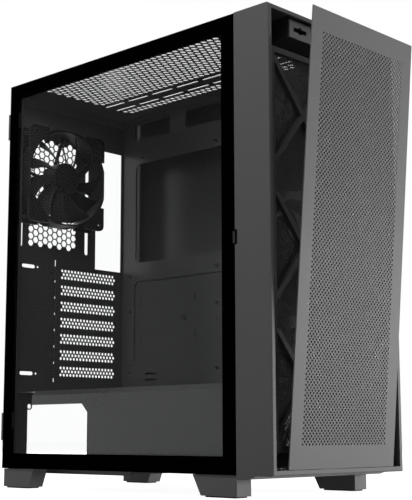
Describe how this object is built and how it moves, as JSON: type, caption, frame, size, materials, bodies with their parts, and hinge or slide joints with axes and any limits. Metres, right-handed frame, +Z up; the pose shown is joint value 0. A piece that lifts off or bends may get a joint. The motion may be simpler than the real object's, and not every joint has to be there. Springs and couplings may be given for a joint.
{
  "type": "desktop computer tower case",
  "caption": "Empty mid-tower computer case with a hinged glass side door, a tilting perforated front panel, spinning fans, vented steel chassis, dust filters and feet.",
  "frame": {"origin": "on the floor, under the middle of the bounding box with the front panel leaning open as pictured", "axes": "+Z up, the front faces -Y, the glass door is on -X"},
  "size_m": [0.2152, 0.4638, 0.4876],
  "materials": {
    "steel": "smooth satin dark grey paint",
    "bezel_plastic": "satin dark grey moulding",
    "panel_mesh": "satin dark grey coat on perforated steel",
    "guard_plastic": "satin black moulding",
    "fan_plastic": "black moulding",
    "button_plastic": "gloss black",
    "glass": "clear tempered glass with a printed black border",
    "black_zinc": "black plated steel",
    "connector_steel": "plain",
    "circuit_board": "dark solder resist",
    "dust_cloth": "fine black nylon weave",
    "pad_rubber": "matt black"
  },
  "bodies": {
    "case": {"front_bezel": "bezel_plastic", "front_wall": "steel", "floor_plate": "steel", "top_plate": "steel", "rear_panel": "steel", "motherboard_tray": "steel", "psu_shroud": "steel", "drive_cage": "steel", "drive_trays": "bezel_plastic", "board_standoffs": "steel", "fan_screws": "black_zinc", "slot_cover_screws": "black_zinc", "guard_frame": "guard_plastic", "guard_mesh": "dust_cloth", "panel_pivot_brackets": "bezel_plastic", "io_housing": "bezel_plastic", "io_board": "circuit_board", "usb_a_ports": "connector_steel", "usb_c_port": "connector_steel", "audio_jack": "guard_plastic", "foot_pads": "pad_rubber", "door_hinge_bases": "black_zinc", "door_hinge_pins": "black_zinc", "psu_filter_rails": "guard_plastic", "catch_plate_left": "steel", "catch_plate_right": "steel", "foot_front_left": "bezel_plastic", "foot_front_right": "bezel_plastic", "foot_rear_left": "bezel_plastic", "foot_rear_right": "bezel_plastic", "rear_fan_frame": "fan_plastic", "front_fan_frame_top": "fan_plastic", "front_fan_frame_middle": "fan_plastic", "front_fan_frame_bottom": "fan_plastic", "slot_cover_1": "steel", "slot_cover_2": "steel", "slot_cover_3": "steel", "slot_cover_4": "steel", "slot_cover_5": "steel", "slot_cover_6": "steel", "slot_cover_7": "steel"},
    "door": {"glass_door": "glass", "door_hinge_leaves": "black_zinc", "door_pull_tab": "guard_plastic"},
    "front_panel": {"front_mesh_panel": "panel_mesh", "panel_snap_studs": "guard_plastic", "panel_hinge_lugs": "guard_plastic"},
    "right_panel": {"right_side_panel": "steel", "panel_thumb_screws": "black_zinc"},
    "top_filter": {"top_filter_frame": "guard_plastic", "top_filter_mesh": "dust_cloth"},
    "supply_filter": {"psu_filter_frame": "guard_plastic", "psu_filter_mesh": "dust_cloth"},
    "front_rotor_top": {"front_fan_rotor_top": "fan_plastic"},
    "front_rotor_middle": {"front_fan_rotor_middle": "fan_plastic"},
    "front_rotor_bottom": {"front_fan_rotor_bottom": "fan_plastic"},
    "rear_rotor": {"rear_fan_rotor": "fan_plastic"},
    "power_cap": {"power_button": "button_plastic"},
    "reset_cap": {"reset_button": "button_plastic"}
  },
  "joints": [
    {"name": "door_swing", "type": "hinge", "parent": "case", "child": "door", "pos_m": [-0.1052, 0.22998, 0.2547], "axis": [0, 0, -1], "range_deg": [0, 110]},
    {"name": "front_panel_tilt", "type": "hinge", "parent": "case", "child": "front_panel", "pos_m": [0, -0.18391, 0.032], "axis": [1, 0, 0], "range_deg": [-4.93, 0]},
    {"name": "right_panel_slide", "type": "slide", "parent": "case", "child": "right_panel", "axis": [0, 1, 0], "range_m": [0, 0.015]},
    {"name": "top_filter_lift", "type": "slide", "parent": "case", "child": "top_filter", "axis": [0, 0, 1], "range_m": [0, 0.05]},
    {"name": "supply_filter_slide", "type": "slide", "parent": "case", "child": "supply_filter", "axis": [0, 1, 0], "range_m": [0, 0.15]},
    {"name": "front_fan_top_spin", "type": "hinge", "parent": "case", "child": "front_rotor_top", "pos_m": [0, -0.13092, 0.3827], "axis": [0, 1, 0], "continuous": true},
    {"name": "front_fan_middle_spin", "type": "hinge", "parent": "case", "child": "front_rotor_middle", "pos_m": [0, -0.13092, 0.2462], "axis": [0, 1, 0], "continuous": true},
    {"name": "front_fan_bottom_spin", "type": "hinge", "parent": "case", "child": "front_rotor_bottom", "pos_m": [0, -0.13092, 0.1097], "axis": [0, 1, 0], "continuous": true},
    {"name": "rear_fan_spin", "type": "hinge", "parent": "case", "child": "rear_rotor", "pos_m": [-0.0391, 0.20908, 0.3777], "axis": [0, 1, 0], "continuous": true},
    {"name": "power_press", "type": "slide", "parent": "case", "child": "power_cap", "axis": [0, 0, -1], "range_m": [0, 0.0015], "stiffness_N_per_m": 500, "springref_m": -0.0005},
    {"name": "reset_press", "type": "slide", "parent": "case", "child": "reset_cap", "axis": [0, 0, -1], "range_m": [0, 0.0015], "stiffness_N_per_m": 500, "springref_m": -0.0005}
  ]
}
